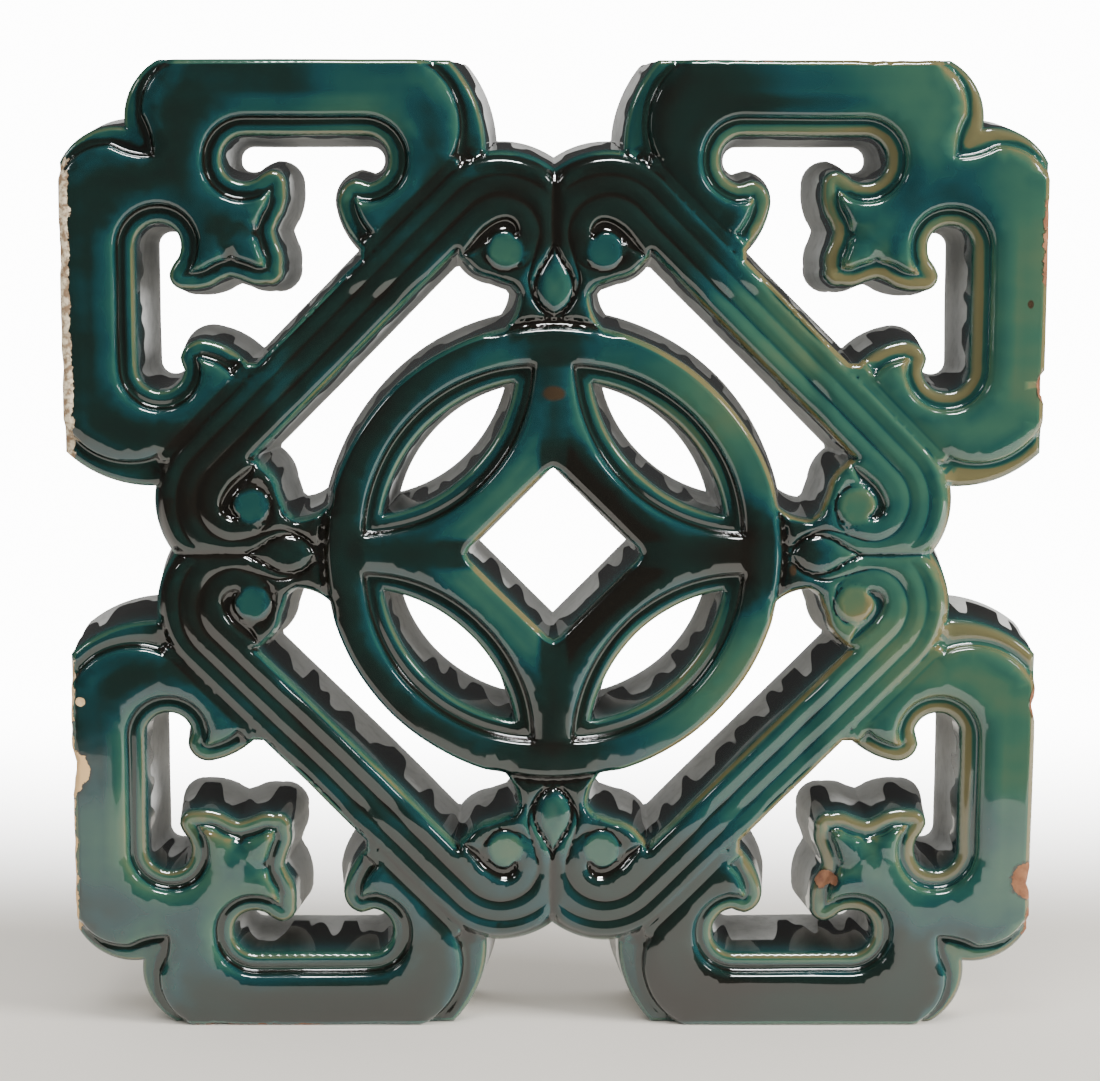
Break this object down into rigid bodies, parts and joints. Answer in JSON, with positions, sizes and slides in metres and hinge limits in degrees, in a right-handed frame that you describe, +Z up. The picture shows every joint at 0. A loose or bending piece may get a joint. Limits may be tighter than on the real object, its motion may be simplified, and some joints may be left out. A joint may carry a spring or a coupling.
{
  "type": "ceramic screen tile",
  "caption": "Square openwork glazed ceramic screen tile: a ring with pointed petals and a diamond, diagonal reeded bars that end in scrolls, and hooked corner brackets.",
  "frame": {"origin": "centre of the tile's footprint at its lower edge", "axes": "+Z up, +X to the viewer's right, the carved front faces -Y and the plain back +Y"},
  "size_m": [0.3, 0.04, 0.3],
  "materials": {
    "glaze": "deep green glaze, glossy"
  },
  "bodies": {
    "root": {"screen_tile": "glaze"}
  },
  "joints": []
}
